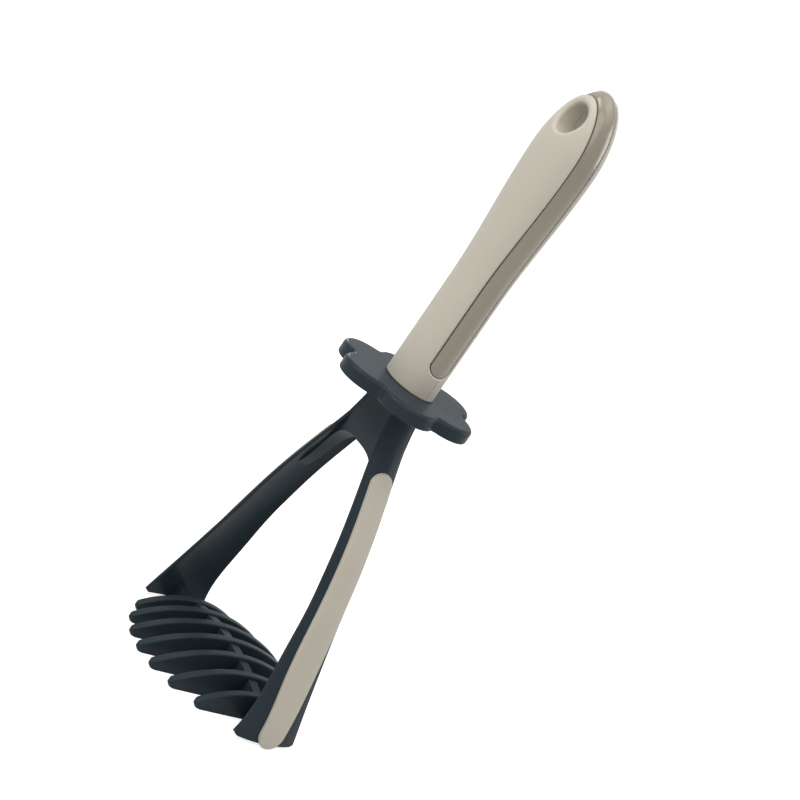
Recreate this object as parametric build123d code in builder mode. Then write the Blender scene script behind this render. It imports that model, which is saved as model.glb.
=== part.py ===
# Potato masher: a bladed nylon head on a two-armed fork, a rosette finger guard and a
# two-colour grip with a hanging hole. Units are millimetres.
# The origin is the middle of the resting face under the blades, +Z runs up the grip,
# +X points at one arm and -Y is the front of the grip.
import os

from build123d import *

# Length that every cutting block reaches past the part
overrun = 60.0

# Distance within which two surfaces count as one
touch = 0.001

# Blades of the mashing head
blade_count = 7
blade_pitch = 10.2
blade_thickness = 3.4
head_radius = 40.9
blade_tip_height = 3.1
blade_nose = 1.3
blade_edge_round = 0.6
blade_end_round = 1.55
dome_height = 15.1
dome_end_height = 11.4
# Half length of each blade, from the middle one outwards, as a share of the head radius
blade_length_shares = (1.0, 0.965, 0.855, 0.662)

# Spine that crosses the blades and joins the arms
spine_width = 4.2
spine_drop = 1.1
spine_lap = 5.0
gusset_run = 6.0
gusset_rise = 0.5

# Arms of the fork, each a crescent in section
arm_foot_clearance = 1.3
arm_top = 137.1
arm_foot_reach = 45.1
arm_foot_half_width = 15.9
arm_foot_corner = 3.0
arm_crown = 3.4
arm_wall = 2.8
arm_lip = 1.9
arm_lip_run = 0.8
# Rows of (height, reach, half width, crown), each a share of the matching arm size. The
# first row lies below the foot: the arms are trimmed there and the strips run past them.
arm_station_shares = (
    (-0.020, 1.000, 1.050, 1.06),
    (0.000, 1.000, 1.000, 1.02),
    (0.070, 0.982, 0.850, 0.98),
    (0.180, 0.912, 0.722, 0.94),
    (0.330, 0.801, 0.610, 1.06),
    (0.480, 0.685, 0.552, 1.08),
    (0.620, 0.552, 0.524, 1.04),
    (0.760, 0.386, 0.498, 0.98),
    (0.870, 0.256, 0.474, 0.92),
    (0.950, 0.190, 0.458, 0.84),
    (1.000, 0.174, 0.455, 0.80),
)

# Web that fills the crotch of the fork
web_half_depth = 7.1
web_rise = 28.0
web_edge_round = 1.0
web_station_count = 5
# Front outline of the arch, as shares of its half span and its rise
arch_shares = ((0.79, 0.36), (0.61, 0.74), (0.38, 0.955))
# Side outline, as shares of the half depth and of the height up to the guard
web_side_shares = ((0.43, 0.0), (0.5, 0.35), (0.75, 0.53), (1.0, 0.74))

# Oval neck under the guard
neck_half_width = 10.4
neck_half_depth = 7.3
neck_length = 5.0
neck_blend = 16.0
neck_blend_half_width = 10.5
neck_blend_half_depth = 5.5

# Soft scraper strips on the outer faces of the arms
strip_proud = 1.5
strip_inlay = 0.9
strip_foot_half_width = 5.8
strip_belly_half_width = 6.5
strip_belly_height = 26.0
strip_waist_half_width = 5.9
strip_waist_height = 62.0
strip_top_half_width = 5.3
strip_foot = 0.2
strip_top = 111.8
strip_edge_round = 0.5

# Tang that carries the guard and the grip
tang_width = 13.0
tang_depth = 7.6
tang_reach = 52.0
tang_corner = 2.0
tang_clearance = 0.1

# Rosette finger guard
guard_thickness = 5.9
guard_lobes = 6
guard_lobe_radius = 12.5
guard_ring_radius = 18.8
guard_notch_round = 2.2
guard_top_round = 1.8
guard_bottom_round = 0.8

# Grip, an oval body that swells towards a rounded end
grip_length = 134.3
grip_radius = 11.2
grip_belly_radius = 13.8
grip_straight = 46.0
grip_end_length = 30.3
grip_width_ratio = 1.12
grip_depth_ratio = 0.86
grip_foot_round = 0.5

# Glossy side band of the core, bared between two matte shells, its middle a little in
# front of the line where they part
band_front_reach = 5.5
band_back_reach = 3.3
band_corner = 4.0
band_foot = 10.0
band_recess = 0.6
band_groove = 0.35
parting_gap = 0.16
shell_thickness = 2.3
shell_edge_round = 0.5

# Oval hanging hole near the end of the grip, lined by the shells
hole_half_width = 5.6
hole_half_height = 6.6
hole_drop = 15.1
hole_rim_round = 1.6
hole_liner = 1.4

# Heights worked out from the sizes above
guard_top = arm_top + guard_thickness
grip_top = guard_top + grip_length
belly_z = grip_top - grip_end_length
hole_z = grip_top - hole_drop

# Places worked out from the sizes above
middle_blade = (blade_count - 1) / 2
outer_blade_x = blade_pitch * middle_blade
dome_fall = (dome_height - dome_end_height) / outer_blade_x**2


def dome_at(x):
    """Height of the domed top of the head above the middle line, at x."""
    return dome_height - dome_fall * x**2


def arm_height_at(share):
    """Height of an arm station."""
    return arm_foot_clearance + (arm_top - arm_foot_clearance) * share


def arm_blank(side, outwards, inwards):
    """One arm as a loft of crescents, from inwards to outwards of its own outer face."""
    with BuildPart() as blank:
        for height_share, reach_share, width_share, crown_share in arm_station_shares:
            edge = arm_foot_reach * reach_share
            half = arm_foot_half_width * width_share
            crown = edge + arm_crown * crown_share
            outer_edge = edge + arm_lip / 2 + outwards
            inner_edge = outer_edge - outwards - inwards * arm_lip / arm_wall
            run = half - arm_lip_run
            with BuildSketch(Plane.XY.offset(arm_height_at(height_share))):
                with BuildLine():
                    ThreePointArc(
                        (side * outer_edge, -run),
                        (side * (crown + outwards), 0),
                        (side * outer_edge, run),
                    )
                    ThreePointArc(
                        (side * outer_edge, run),
                        (side * (outer_edge + inner_edge) / 2, half),
                        (side * inner_edge, run),
                    )
                    ThreePointArc(
                        (side * inner_edge, run),
                        (side * (crown - inwards), 0),
                        (side * inner_edge, -run),
                    )
                    ThreePointArc(
                        (side * inner_edge, -run),
                        (side * (outer_edge + inner_edge) / 2, -half),
                        (side * outer_edge, -run),
                    )
                make_face()
        loft()
    return blank.part


def arm_trim():
    """Block with rounded lower corners that trims the feet of both arms."""
    with BuildPart() as trim:
        with BuildSketch(Plane.YZ.offset(-overrun)):
            with Locations((0, arm_foot_clearance + arm_top / 2)):
                RectangleRounded(2 * arm_foot_half_width, arm_top, arm_foot_corner)
            with Locations((0, arm_top / 2 + arm_top / 2)):
                Rectangle(2 * arm_foot_half_width, arm_top)
        extrude(amount=2 * overrun)
    return trim.part


def strip_block():
    """Prism across the head with the side outline of a scraper strip."""
    foot = (strip_foot_half_width, strip_foot + strip_foot_half_width)
    belly = (strip_belly_half_width, strip_belly_height)
    waist = (strip_waist_half_width, strip_waist_height)
    top = (strip_top_half_width, strip_top - strip_top_half_width)
    with BuildPart() as block:
        with BuildSketch(Plane.YZ.offset(-overrun)):
            with BuildLine():
                Spline(foot, belly, waist, top, tangents=((0, 1), (0, 1)))
                ThreePointArc(top, (0, strip_top), (-top[0], top[1]))
                Spline(
                    [(-y, z) for y, z in (top, waist, belly, foot)],
                    tangents=((0, -1), (0, -1)),
                )
                ThreePointArc((-foot[0], foot[1]), (0, strip_foot), foot)
            make_face()
        extrude(amount=2 * overrun)
    return block.part


def web_blank():
    """Web under the neck, arched below and thinner towards the arch."""
    stations = arm_station_shares[-web_station_count:]
    rail = [
        (arm_foot_reach * reach + arm_lip / 2, arm_height_at(height))
        for height, reach, _, _ in stations
    ]
    foot_x, foot_z = rail[0]
    top_x, top_z = rail[-1]
    arch = [(foot_x * x, foot_z + web_rise * z) for x, z in arch_shares]
    side_run = [
        (web_half_depth * y, foot_z + (top_z - foot_z) * z) for y, z in web_side_shares
    ]
    with BuildPart() as web:
        with BuildSketch(Plane.XZ):
            with BuildLine():
                Spline(rail)
                Spline([(-x, z) for x, z in rail])
                Line((-top_x, top_z), (top_x, top_z))
                Spline(
                    [(foot_x, foot_z)]
                    + arch
                    + [(0, foot_z + web_rise)]
                    + [(-x, z) for x, z in reversed(arch)]
                    + [(-foot_x, foot_z)]
                )
            make_face()
        extrude(amount=web_half_depth, both=True)
        with BuildSketch(Plane.YZ.offset(-overrun)):
            with BuildLine():
                Spline(side_run, tangents=((0, 1), (0, 1)))
                Polyline(
                    side_run[-1],
                    (web_half_depth, top_z),
                    (-web_half_depth, top_z),
                    (-side_run[-1][0], side_run[-1][1]),
                )
                Spline([(-y, z) for y, z in side_run], tangents=((0, 1), (0, 1)))
                Line(side_run[0], (-side_run[0][0], side_run[0][1]))
            make_face()
        extrude(amount=2 * overrun, mode=Mode.INTERSECT)
        arch_rims = edges().filter_by(lambda edge: abs((edge @ 0.5).X) < touch)
        fillet(arch_rims.sort_by(Axis.Z)[:2], radius=web_edge_round)
    return web.part


def neck_blank():
    """Oval neck under the guard, drawn in below to run into the web."""
    neck_foot = arm_top - neck_length
    with BuildPart() as neck:
        with BuildSketch(Plane.XY.offset(neck_foot - neck_blend)):
            Ellipse(neck_blend_half_width, neck_blend_half_depth)
        with BuildSketch(Plane.XY.offset(neck_foot)):
            Ellipse(neck_half_width, neck_half_depth)
        loft()
        with BuildSketch(Plane.XY.offset(neck_foot)):
            Ellipse(neck_half_width, neck_half_depth)
        extrude(amount=neck_length)
    return neck.part


def tang_blank(clearance, foot_z, length):
    """Tang, or the socket for it when a clearance is given."""
    with BuildPart() as tang:
        with BuildSketch(Plane.XY.offset(foot_z)):
            RectangleRounded(
                tang_width + 2 * clearance,
                tang_depth + 2 * clearance,
                tang_corner + clearance,
            )
        extrude(amount=length)
    return tang.part


def grip_blank(shrink):
    """Oval grip body, smaller all over by shrink."""
    neck_r = grip_radius - shrink
    belly_r = grip_belly_radius - shrink
    with BuildPart() as body:
        with BuildSketch(Plane.XZ):
            with BuildLine():
                Polyline(
                    (0, belly_z),
                    (0, guard_top),
                    (neck_r, guard_top),
                    (neck_r, guard_top + grip_straight),
                )
                Spline(
                    (neck_r, guard_top + grip_straight),
                    (belly_r, belly_z),
                    tangents=((0, 1), (0, 1)),
                )
                EllipticalCenterArc(
                    (0, belly_z), belly_r, grip_end_length - shrink, arc_size=90
                )
                Line((0, grip_top - shrink), (0, belly_z))
            make_face()
        revolve(axis=Axis.Z)
        scale(by=(grip_width_ratio, grip_depth_ratio, 1))
    return body.part


def band_block(shrink):
    """Block across the grip and over its end that bares the side band, smaller by shrink."""
    foot = guard_top + band_foot + shrink
    middle = (band_back_reach - band_front_reach) / 2
    width = band_front_reach + band_back_reach - 2 * shrink
    with BuildPart() as block:
        with BuildSketch(Plane.YZ.offset(-overrun)):
            with Locations((middle, foot + grip_length / 2)):
                RectangleRounded(width, grip_length, band_corner - shrink)
            with Locations((middle, foot + grip_length)):
                Rectangle(width, grip_length)
        extrude(amount=2 * overrun)
    return block.part


def hole_block(grow):
    """Oval prism from front to back for the hanging hole, larger by grow."""
    with BuildPart() as block:
        with BuildSketch(Plane.XZ.offset(-overrun)):
            with Locations((0, hole_z)):
                Ellipse(hole_half_width + grow, hole_half_height + grow)
        extrude(amount=2 * overrun)
    return block.part


os.makedirs("parts", exist_ok=True)

# Scraper strips, let into the outer faces of the arms and standing proud of them
strip_outline = strip_block()
strip_solids = {}
for name, side in (("scraper_left", -1), ("scraper_right", 1)):
    slab = arm_blank(side, strip_proud, strip_inlay)
    with BuildPart() as scraper:
        add(slab)
        add(strip_outline, mode=Mode.INTERSECT)
        outer_face = faces().sort_by(SortBy.AREA)[-1]
        fillet(outer_face.edges(), radius=strip_edge_round)
    scraper.part.label = name
    export_step(scraper.part, f"parts/{name}.step")
    strip_solids[name] = scraper.part

# Fork: both arms, the web, the neck and the tang, moulded in one
arm_blanks = [arm_blank(side, 0, arm_wall) for side in (-1, 1)]
foot_trim = arm_trim()
web_part = web_blank()
neck_part = neck_blank()
tang_part = tang_blank(0, arm_top, guard_thickness + tang_reach)
with BuildPart() as fork:
    add(arm_blanks)
    add(foot_trim, mode=Mode.INTERSECT)
    add(web_part)
    add(neck_part)
    add(tang_part)
    for strip_solid in strip_solids.values():
        add(strip_solid, mode=Mode.SUBTRACT)
fork.part.label = "fork"
export_step(fork.part, "parts/fork.step")

# Spine under the blades, notched from above where each blade crosses it
spine_end = arm_foot_reach + arm_wall / 3
gusset_x = arm_foot_reach - gusset_run
gusset_foot = dome_at(gusset_x) - spine_drop
gusset_top = gusset_foot + gusset_rise
with BuildPart() as spine:
    with BuildSketch(Plane.XZ.offset(-spine_width / 2)):
        with BuildLine():
            ThreePointArc(
                (-gusset_x, gusset_foot),
                (0, dome_height - spine_drop),
                (gusset_x, gusset_foot),
            )
            Polyline(
                (gusset_x, gusset_foot),
                (arm_foot_reach, gusset_top),
                (spine_end, gusset_top),
                (spine_end, arm_foot_clearance),
                (arm_foot_reach, arm_foot_clearance),
                (arm_foot_reach, 0),
                (-arm_foot_reach, 0),
                (-arm_foot_reach, arm_foot_clearance),
                (-spine_end, arm_foot_clearance),
                (-spine_end, gusset_top),
                (-arm_foot_reach, gusset_top),
                (-gusset_x, gusset_foot),
            )
        make_face()
    extrude(amount=spine_width)
    with BuildSketch(Plane.XY.offset(spine_lap)):
        with GridLocations(blade_pitch, 0, blade_count, 1):
            Rectangle(blade_thickness, 2 * spine_width)
    extrude(amount=overrun, mode=Mode.SUBTRACT)
    add(fork.part, mode=Mode.SUBTRACT)
spine.part.label = "spine"
export_step(spine.part, "parts/spine.step")

# Blades, each one arched plate with rounded noses and a notch below for the spine
for index in range(blade_count):
    step = index - middle_blade
    blade_x = step * blade_pitch
    half_length = head_radius * blade_length_shares[abs(int(step))]
    with BuildPart() as blade:
        with BuildSketch(Plane.YZ.offset(blade_x - blade_thickness / 2)):
            with BuildLine():
                ThreePointArc(
                    (-half_length, blade_tip_height),
                    (0, dome_at(blade_x)),
                    (half_length, blade_tip_height),
                )
                Polyline(
                    (half_length, blade_tip_height),
                    (half_length, blade_nose),
                    (half_length - blade_nose, 0),
                    (blade_nose - half_length, 0),
                    (-half_length, blade_nose),
                    (-half_length, blade_tip_height),
                )
            make_face()
        extrude(amount=blade_thickness)
        end_edges = edges().filter_by(
            lambda edge: abs((edge @ 0.5).Y) > half_length - blade_nose
            and abs((edge @ 0.5).X - blade_x) > blade_thickness / 2 - touch
            and (edge @ 0.5).Z < blade_tip_height
        )
        fillet(end_edges, radius=blade_end_round)
        fillet(faces().sort_by(Axis.Z)[-1].edges(), radius=blade_edge_round)
        with BuildSketch():
            with Locations((blade_x, 0)):
                Rectangle(2 * blade_thickness, spine_width)
        extrude(amount=spine_lap, mode=Mode.SUBTRACT)
    blade.part.label = f"blade_{index + 1}"
    export_step(blade.part, f"parts/blade_{index + 1}.step")

# Finger guard: a rosette plate that drops over the tang
guard_socket = tang_blank(tang_clearance, arm_top - overrun, 2 * overrun)
with BuildPart() as guard:
    with BuildSketch(Plane.XY.offset(arm_top)) as rosette:
        Circle(guard_ring_radius)
        with PolarLocations(guard_ring_radius, guard_lobes, 180 / guard_lobes):
            Circle(guard_lobe_radius)
        fillet(rosette.vertices(), radius=guard_notch_round)
    extrude(amount=guard_thickness)
    fillet(guard.faces().sort_by(Axis.Z)[-1].edges(), radius=guard_top_round)
    fillet(guard.faces().sort_by(Axis.Z)[0].edges(), radius=guard_bottom_round)
    add(guard_socket, mode=Mode.SUBTRACT)
guard.part.label = "guard"
export_step(guard.part, "parts/guard.step")

# Glossy grip core with the bared side band, the tang socket and the hanging hole
outer_body = grip_blank(0)
band_body = grip_blank(band_recess)
inner_body = grip_blank(shell_thickness)
band_window = band_block(0)
band_outline = band_block(band_groove)
hole_cut = hole_block(0)
liner_block = hole_block(hole_liner)
grip_socket = tang_blank(tang_clearance, guard_top, tang_reach + tang_clearance)
with BuildPart() as band:
    add(band_body)
    add(band_outline, mode=Mode.INTERSECT)
with BuildPart() as grip_core:
    add(inner_body)
    add(band.part)
    add(grip_socket, mode=Mode.SUBTRACT)
    add(liner_block, mode=Mode.SUBTRACT)
grip_core.part.label = "grip_core"
export_step(grip_core.part, "parts/grip_core.step")

# Matte shells, one skin with the hanging hole's lining, rounded along its rims
grip_skin = outer_body.shell()


def on_skin(edge):
    """True for an edge that lies on the outer surface of the grip."""
    return grip_skin.distance_to(Vertex(*(edge @ 0.5))) < touch


def beside_band(edge):
    """True for an edge that runs along the side band's window."""
    spot = edge @ 0.5
    above_foot = spot.Z > guard_top + band_foot / 2
    inside = -band_front_reach - touch < spot.Y < band_back_reach + touch
    return above_foot and inside and not edge.is_closed


def round_mouth(edge):
    """True for an edge round a mouth of the hanging hole."""
    return edge.is_closed and (edge @ 0.5).Z > guard_top + band_foot / 2


with BuildPart() as liner:
    add(outer_body)
    add(liner_block, mode=Mode.INTERSECT)
with BuildPart() as skin:
    add(outer_body)
    add(inner_body, mode=Mode.SUBTRACT)
    add(band_window, mode=Mode.SUBTRACT)
    add(liner.part)
    add(hole_cut, mode=Mode.SUBTRACT)
    fillet(edges().filter_by(on_skin).filter_by(beside_band), radius=shell_edge_round)
    fillet(edges().filter_by(on_skin).filter_by(round_mouth), radius=hole_rim_round)
    fillet(edges().filter_by(on_skin).group_by(Axis.Z)[0], radius=grip_foot_round)

# The skin parts into a front and a back shell below the band
for name, facing in (("grip_front", -1), ("grip_back", 1)):
    with BuildPart() as shell:
        add(skin.part)
        split(
            bisect_by=Plane.XZ.offset(-facing * parting_gap / 2),
            keep=Keep.TOP if facing < 0 else Keep.BOTTOM,
        )
    shell.part.label = name
    export_step(shell.part, f"parts/{name}.step")
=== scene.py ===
"""Looks of the potato masher: its finishes, the studio around it and the camera.

Lengths are metres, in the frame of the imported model: the origin is the middle of the
resting face, +Z runs up the grip, +X points at one arm and -Y is the front of the grip.
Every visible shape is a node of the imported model, so this file only dresses and lights them.
"""

import logging
from abc import ABC, abstractmethod
from dataclasses import dataclass, field
from enum import Enum

import bmesh
import bpy
from mathutils import Matrix, Vector


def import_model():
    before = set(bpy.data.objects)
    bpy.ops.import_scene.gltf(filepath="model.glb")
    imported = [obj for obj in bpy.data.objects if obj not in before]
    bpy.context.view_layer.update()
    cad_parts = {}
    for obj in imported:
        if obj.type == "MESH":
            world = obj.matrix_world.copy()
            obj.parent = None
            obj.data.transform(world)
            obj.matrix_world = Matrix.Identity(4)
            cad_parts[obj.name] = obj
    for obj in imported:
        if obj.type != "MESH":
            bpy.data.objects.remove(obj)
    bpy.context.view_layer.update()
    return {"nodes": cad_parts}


LOG = logging.getLogger("masher")

Triple = tuple[float, float, float]

WHITE = (1.0, 1.0, 1.0, 1.0)


def maths(
    tree: bpy.types.NodeTree,
    operation: str,
    terms: tuple[bpy.types.NodeSocket | float, ...],
    clamped: bool = False,
) -> bpy.types.NodeSocket:
    """Work out one sum, product or the like.

    Args:
        tree: Node tree that gets the node.
        operation: Name of the operation.
        terms: Its inputs in order, each a socket or a number.
        clamped: Whether the result is kept between 0 and 1.

    Returns:
        Socket that holds the result.
    """
    node = tree.nodes.new("ShaderNodeMath")
    node.operation = operation
    node.use_clamp = clamped
    for slot, term in zip(node.inputs, terms):
        if isinstance(term, bpy.types.NodeSocket):
            tree.links.new(term, slot)
        else:
            slot.default_value = term
    return node.outputs[0]


@dataclass
class EffectLibrary:
    """Shader node groups that several finishes share, each built once."""

    grain_detail: float = 3.0
    grain_breakup: float = 0.6
    waves_per_metre: float = 55.0
    wave_detail: float = 1.0
    wave_breakup: float = 0.5
    clouds_per_metre: float = 22.0
    cloud_detail: float = 4.0
    cloud_breakup: float = 0.55
    cloud_contrast: float = 1.6
    cloud_middle: float = 0.5
    groups: dict[str, bpy.types.NodeTree] = field(default_factory=dict)

    def _group(
        self, name: str, inputs: tuple[str, ...], outputs: tuple[str, ...]
    ) -> bpy.types.NodeTree:
        """Make an empty group with a position input, and keep it in the library.

        Args:
            name: Name of the group.
            inputs: Names of its float inputs.
            outputs: Names of its float outputs.

        Returns:
            The new node tree, with its input and output nodes placed.
        """
        tree = bpy.data.node_groups.new(name, "ShaderNodeTree")
        tree.interface.new_socket("Position", in_out="INPUT", socket_type="NodeSocketVector")
        for label in inputs:
            tree.interface.new_socket(label, in_out="INPUT", socket_type="NodeSocketFloat")
        for label in outputs:
            tree.interface.new_socket(label, in_out="OUTPUT", socket_type="NodeSocketFloat")
        tree.nodes.new("NodeGroupInput").name = "in"
        tree.nodes.new("NodeGroupOutput").name = "out"
        self.groups[name] = tree
        return tree

    def _noise(
        self, tree: bpy.types.NodeTree, detail: float, breakup: float
    ) -> bpy.types.ShaderNodeTexNoise:
        """Place a noise that reads the group's position.

        Args:
            tree: The group.
            detail: Number of finer layers in the noise.
            breakup: Strength of each finer layer against the one before.

        Returns:
            The noise node.
        """
        noise = tree.nodes.new("ShaderNodeTexNoise")
        noise.inputs["Detail"].default_value = detail
        noise.inputs["Roughness"].default_value = breakup
        tree.links.new(tree.nodes["in"].outputs["Position"], noise.inputs["Vector"])
        return noise

    def grain(self) -> bpy.types.NodeTree:
        """Fine grain of a moulded surface, with a broad soft waviness.

        Returns:
            Group with a height in metres and a speckle mask.
        """
        name = "moulded_grain"
        if name in self.groups:
            return self.groups[name]
        tree = self._group(
            name, ("Grain per metre", "Grain height", "Wave height"), ("Height", "Speckle")
        )
        source, sink = tree.nodes["in"].outputs, tree.nodes["out"].inputs
        fine = self._noise(tree, self.grain_detail, self.grain_breakup)
        tree.links.new(source["Grain per metre"], fine.inputs["Scale"])
        broad = self._noise(tree, self.wave_detail, self.wave_breakup)
        broad.inputs["Scale"].default_value = self.waves_per_metre
        fine_height = maths(tree, "MULTIPLY", (fine.outputs["Fac"], source["Grain height"]))
        height = maths(
            tree, "MULTIPLY_ADD", (broad.outputs["Fac"], source["Wave height"], fine_height)
        )
        tree.links.new(height, sink["Height"])
        tree.links.new(fine.outputs["Fac"], sink["Speckle"])
        return tree

    def mottle(self) -> bpy.types.NodeTree:
        """Slight cloudy change of tone across a moulding, as from its flow and handling.

        Returns:
            Group with one mask from 0 to 1.
        """
        name = "flow_mottle"
        if name in self.groups:
            return self.groups[name]
        tree = self._group(name, (), ("Mask",))
        cloud = self._noise(tree, self.cloud_detail, self.cloud_breakup)
        cloud.inputs["Scale"].default_value = self.clouds_per_metre
        centred = maths(tree, "SUBTRACT", (cloud.outputs["Fac"], self.cloud_middle))
        spread = (centred, self.cloud_contrast, self.cloud_middle)
        mask = maths(tree, "MULTIPLY_ADD", spread, clamped=True)
        tree.links.new(mask, tree.nodes["out"].inputs["Mask"])
        return tree


@dataclass(frozen=True)
class Relief:
    """Relief that a mould leaves: grains per metre, their height and the broad waves' height."""

    grain_per_metre: float
    grain_height: float
    wave_height: float


class Texture(Enum):
    """Reliefs that the masher's mouldings come in."""

    SATIN = Relief(3200.0, 0.000006, 0.00001)
    SOFT_TOUCH = Relief(3600.0, 0.000006, 0.00002)
    POLISHED = Relief(2600.0, 0.000001, 0.000004)
    RUBBERY = Relief(3000.0, 0.000008, 0.00002)


@dataclass(frozen=True)
class Finish:
    """A moulded finish, with real-scale grain, tone changes and gloss."""

    name: str
    texture: Texture
    tone_dark: Triple
    tone_light: Triple
    roughness: float
    roughness_spread: float
    coat: float = 0.0
    coat_roughness: float = 0.1
    sheen: float = 0.0
    sheen_roughness: float = 0.5
    specular: float = 0.5
    speckle_low: float = 0.3
    speckle_high: float = 0.7

    def material(self, effects: EffectLibrary) -> bpy.types.Material:
        """Build the finish's material.

        Args:
            effects: Library that holds the shared node groups.

        Returns:
            The new material.
        """
        made = bpy.data.materials.new(self.name)
        made.use_nodes = True
        tree = made.node_tree
        shader = tree.nodes["Principled BSDF"]
        shader.inputs["Specular IOR Level"].default_value = self.specular
        shader.inputs["Coat Weight"].default_value = self.coat
        shader.inputs["Coat Roughness"].default_value = self.coat_roughness
        shader.inputs["Sheen Weight"].default_value = self.sheen
        shader.inputs["Sheen Roughness"].default_value = self.sheen_roughness
        place = tree.nodes.new("ShaderNodeTexCoord").outputs["Object"]
        self._tone(tree, effects, place, shader)
        self._relief(tree, effects, place, shader)
        return made

    def _tone(
        self,
        tree: bpy.types.NodeTree,
        effects: EffectLibrary,
        place: bpy.types.NodeSocket,
        shader: bpy.types.ShaderNode,
    ) -> None:
        """Colour the shader between the dark and the light tone.

        Args:
            tree: The material's node tree.
            effects: Library that holds the shared node groups.
            place: Socket with the place on the object.
            shader: The material's shader.
        """
        mottle = tree.nodes.new("ShaderNodeGroup")
        mottle.node_tree = effects.mottle()
        tree.links.new(place, mottle.inputs["Position"])
        tone = tree.nodes.new("ShaderNodeMix")
        tone.data_type = "RGBA"
        tone.inputs["A"].default_value = (*self.tone_dark, 1.0)
        tone.inputs["B"].default_value = (*self.tone_light, 1.0)
        tree.links.new(mottle.outputs["Mask"], tone.inputs["Factor"])
        tree.links.new(tone.outputs["Result"], shader.inputs["Base Color"])

    def _relief(
        self,
        tree: bpy.types.NodeTree,
        effects: EffectLibrary,
        place: bpy.types.NodeSocket,
        shader: bpy.types.ShaderNode,
    ) -> None:
        """Give the shader its grain, and a gloss that changes with the grain.

        Args:
            tree: The material's node tree.
            effects: Library that holds the shared node groups.
            place: Socket with the place on the object.
            shader: The material's shader.
        """
        relief = self.texture.value
        grain = tree.nodes.new("ShaderNodeGroup")
        grain.node_tree = effects.grain()
        grain.inputs["Grain per metre"].default_value = relief.grain_per_metre
        grain.inputs["Grain height"].default_value = relief.grain_height
        grain.inputs["Wave height"].default_value = relief.wave_height
        tree.links.new(place, grain.inputs["Position"])
        gloss = tree.nodes.new("ShaderNodeMapRange")
        gloss.inputs["From Min"].default_value = self.speckle_low
        gloss.inputs["From Max"].default_value = self.speckle_high
        gloss.inputs["To Min"].default_value = self.roughness - self.roughness_spread
        gloss.inputs["To Max"].default_value = self.roughness + self.roughness_spread
        tree.links.new(grain.outputs["Speckle"], gloss.inputs["Value"])
        tree.links.new(gloss.outputs["Result"], shader.inputs["Roughness"])
        # The group gives its height in metres, so the bump takes it as it is.
        bump = tree.nodes.new("ShaderNodeBump")
        bump.inputs["Distance"].default_value = 1.0
        bump.inputs["Strength"].default_value = 1.0
        tree.links.new(grain.outputs["Height"], bump.inputs["Height"])
        tree.links.new(bump.outputs["Normal"], shader.inputs["Normal"])


NYLON = Finish(
    name="slate_nylon",
    texture=Texture.SATIN,
    tone_dark=(0.0172, 0.0262, 0.0328),
    tone_light=(0.0248, 0.0364, 0.0450),
    roughness=0.42,
    roughness_spread=0.05,
    coat=0.07,
    coat_roughness=0.18,
    specular=0.05,
)
SHELL = Finish(
    name="beige_matte",
    texture=Texture.SOFT_TOUCH,
    tone_dark=(0.452, 0.416, 0.348),
    tone_light=(0.494, 0.458, 0.384),
    roughness=0.55,
    roughness_spread=0.05,
    sheen=0.05,
)
BAND = Finish(
    name="taupe_gloss",
    texture=Texture.POLISHED,
    tone_dark=(0.226, 0.197, 0.146),
    tone_light=(0.252, 0.220, 0.165),
    roughness=0.22,
    roughness_spread=0.03,
    coat=0.4,
    coat_roughness=0.12,
)
STRIP = Finish(
    name="beige_soft",
    texture=Texture.RUBBERY,
    tone_dark=(0.424, 0.394, 0.324),
    tone_light=(0.462, 0.428, 0.352),
    roughness=0.6,
    roughness_spread=0.05,
    sheen=0.1,
)


@dataclass
class Palette:
    """Materials of the masher, each finish built once."""

    effects: EffectLibrary = field(default_factory=EffectLibrary)
    made: dict[str, bpy.types.Material] = field(default_factory=dict)

    def material(self, finish: Finish) -> bpy.types.Material:
        """Give a finish's material, built on first use.

        Args:
            finish: The finish.

        Returns:
            Its material.
        """
        if finish.name not in self.made:
            self.made[finish.name] = finish.material(self.effects)
        return self.made[finish.name]


@dataclass
class SubAssembly(ABC):
    """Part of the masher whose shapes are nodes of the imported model."""

    nodes: dict[str, bpy.types.Object]
    palette: Palette

    @abstractmethod
    def finishes(self) -> dict[str, Finish]:
        """Give the finish of each node, by the node's name."""

    def dress(self) -> dict[str, Finish]:
        """Give each node of the sub-assembly its material.

        Returns:
            The finish that each node got, by the node's name.
        """
        chosen = self.finishes()
        for name, finish in chosen.items():
            slots = self.nodes[name].data.materials
            slots.clear()
            slots.append(self.palette.material(finish))
        return chosen


@dataclass
class MashingHead(SubAssembly):
    """Fork, spine and blades, one nylon moulding."""

    blade_count: int = 7
    finish: Finish = NYLON

    def finishes(self) -> dict[str, Finish]:
        """Give the finish of each node, by the node's name."""
        blades = [f"blade_{index + 1}" for index in range(self.blade_count)]
        return {name: self.finish for name in ["fork", "spine", *blades]}


@dataclass
class FingerGuard(SubAssembly):
    """Rosette plate between the fork and the grip."""

    finish: Finish = NYLON

    def finishes(self) -> dict[str, Finish]:
        """Give the finish of the guard."""
        return {"guard": self.finish}


@dataclass
class Grip(SubAssembly):
    """Glossy core between two matte shells."""

    shell: Finish = SHELL
    core: Finish = BAND

    def finishes(self) -> dict[str, Finish]:
        """Give the finish of each node, by the node's name."""
        return {"grip_front": self.shell, "grip_back": self.shell, "grip_core": self.core}


@dataclass
class ScraperStrips(SubAssembly):
    """Soft strips let into the outer faces of the arms."""

    sides: tuple[str, ...] = ("left", "right")
    finish: Finish = STRIP

    def finishes(self) -> dict[str, Finish]:
        """Give the finish of each strip, by its node's name."""
        return {f"scraper_{side}": self.finish for side in self.sides}


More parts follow.
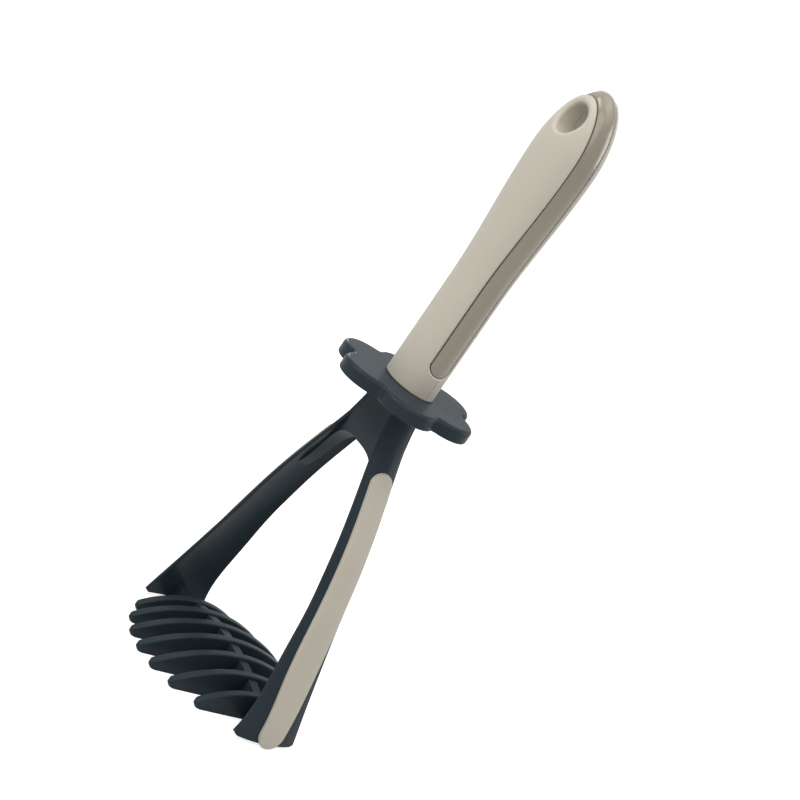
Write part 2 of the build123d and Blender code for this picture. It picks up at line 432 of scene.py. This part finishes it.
@dataclass(frozen=True)
class Lamp:
    """One square soft lamp: where it stands, the length of its side and its watts."""

    name: str
    place: Triple
    size: float
    power: float

    def build(self, target: Vector) -> None:
        """Make the lamp, turned to face a point.

        Args:
            target: The point that it faces.
        """
        data = bpy.data.lights.new(self.name, "AREA")
        data.shape = "SQUARE"
        data.size = self.size
        data.energy = self.power
        lamp = bpy.data.objects.new(self.name, data)
        lamp.location = self.place
        lamp.rotation_mode = "QUATERNION"
        lamp.rotation_quaternion = (target - Vector(self.place)).to_track_quat("-Z", "Y")
        bpy.context.scene.collection.objects.link(lamp)


@dataclass
class Studio:
    """Pale floor, white surroundings, soft lamps and the camera.

    The camera's place and axes were fitted to the outlines in the photograph. Its lens and
    sensor are in millimetres.
    """

    floor_size: float = 6.0
    floor_tone: float = 0.6
    floor_roughness: float = 0.9
    floor_specular: float = 0.1
    floor_lift: float = 0.76
    world_strength: float = 0.46
    backdrop_strength: float = 1.0
    lamps: tuple[Lamp, ...] = (
        Lamp("key", (-0.3, -0.9, 1.15), 0.8, 11.5),
        Lamp("top", (0.1, 0.1, 1.3), 0.9, 2.6),
        Lamp("over", (0.5, 0.3, 1.3), 0.9, 2.5),
        Lamp("fill", (0.9, -0.6, 1.0), 0.9, 4.2),
        Lamp("rim", (0.4, 1.1, 0.5), 0.5, 2.4),
        Lamp("edge", (-1.1, 0.5, 0.45), 0.25, 1.5),
    )
    aim: Triple = (0.0, 0.0, 0.15)
    camera_location: Triple = (0.546400, -0.510381, 0.325715)
    camera_right: Triple = (0.461144, 0.697201, 0.548868)
    camera_up: Triple = (-0.535168, -0.274862, 0.798778)
    camera_back: Triple = (0.707772, -0.662089, 0.246369)
    camera_near: float = 0.01
    camera_far: float = 20.0
    lens: float = 89.9288
    sensor: float = 36.0

    def build(self) -> None:
        """Make the floor, the world, the lamps and the camera."""
        self._floor()
        self._world()
        for lamp in self.lamps:
            lamp.build(Vector(self.aim))
        self._camera()

    def _background_rays(self, tree: bpy.types.NodeTree) -> bpy.types.NodeSocket:
        """Pick out the rays that show the white background.

        Args:
            tree: Node tree of the floor or of the world.

        Returns:
            Socket that is 1 for camera, glossy and transmission rays, and 0 for others.
        """
        ray = tree.nodes.new("ShaderNodeLightPath").outputs
        mirrored = maths(tree, "MAXIMUM", (ray["Is Camera Ray"], ray["Is Glossy Ray"]))
        return maths(tree, "MAXIMUM", (mirrored, ray["Is Transmission Ray"]))

    def _floor(self) -> None:
        """Make the plain floor, white to the camera apart from the object's shadow."""
        mesh = bpy.data.meshes.new("floor")
        made = bmesh.new()
        bmesh.ops.create_grid(made, x_segments=1, y_segments=1, size=self.floor_size / 2)
        made.to_mesh(mesh)
        made.free()
        floor = bpy.data.objects.new("floor", mesh)
        bpy.context.scene.collection.objects.link(floor)
        mesh.materials.append(self._floor_material())

    def _floor_material(self) -> bpy.types.Material:
        """Make the floor's pale matte material.

        Returns:
            The new material.
        """
        material = bpy.data.materials.new("pale_floor")
        material.use_nodes = True
        nodes, links = material.node_tree.nodes, material.node_tree.links
        shader = nodes["Principled BSDF"]
        shader.inputs["Base Color"].default_value = (*[self.floor_tone] * 3, 1.0)
        shader.inputs["Roughness"].default_value = self.floor_roughness
        shader.inputs["Specular IOR Level"].default_value = self.floor_specular
        glow = nodes.new("ShaderNodeEmission")
        glow.inputs["Strength"].default_value = self.floor_lift
        dark = nodes.new("ShaderNodeEmission")
        dark.inputs["Strength"].default_value = 0.0
        pick = nodes.new("ShaderNodeMixShader")
        total = nodes.new("ShaderNodeAddShader")
        links.new(self._background_rays(material.node_tree), pick.inputs["Fac"])
        links.new(dark.outputs[0], pick.inputs[1])
        links.new(glow.outputs[0], pick.inputs[2])
        links.new(shader.outputs[0], total.inputs[0])
        links.new(pick.outputs[0], total.inputs[1])
        links.new(total.outputs[0], nodes["Material Output"].inputs["Surface"])
        return material

    def _world(self) -> None:
        """Light the scene evenly from all around, before a white background."""
        world = bpy.data.worlds.new("surroundings")
        bpy.context.scene.world = world
        world.use_nodes = True
        nodes, links = world.node_tree.nodes, world.node_tree.links
        nodes.clear()
        pick = nodes.new("ShaderNodeMixShader")
        links.new(self._background_rays(world.node_tree), pick.inputs["Fac"])
        for slot, strength in ((1, self.world_strength), (2, self.backdrop_strength)):
            glow = nodes.new("ShaderNodeBackground")
            glow.inputs["Color"].default_value = WHITE
            glow.inputs["Strength"].default_value = strength
            links.new(glow.outputs[0], pick.inputs[slot])
        sink = nodes.new("ShaderNodeOutputWorld")
        links.new(pick.outputs[0], sink.inputs["Surface"])

    def _camera(self) -> None:
        """Make the camera at the photograph's place and angle."""
        data = bpy.data.cameras.new("camera")
        data.lens = self.lens
        data.sensor_width = self.sensor
        data.clip_start = self.camera_near
        data.clip_end = self.camera_far
        camera = bpy.data.objects.new("camera", data)
        turn = Matrix((self.camera_right, self.camera_up, self.camera_back)).transposed()
        camera.matrix_world = Matrix.Translation(self.camera_location) @ turn.to_4x4()
        bpy.context.scene.collection.objects.link(camera)
        bpy.context.scene.camera = camera


def main() -> None:
    """Dress each sub-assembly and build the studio."""
    logging.basicConfig(level=logging.INFO, format="%(name)s: %(message)s")
    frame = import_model()
    palette = Palette()
    for kind in (MashingHead, FingerGuard, Grip, ScraperStrips):
        for name, finish in kind(frame["nodes"], palette).dress().items():
            LOG.info("%s: %s is in %s", kind.__name__, name, finish.name)
    Studio().build()
    bpy.context.scene.view_settings.view_transform = "Standard"


if __name__ == "__main__":
    main()
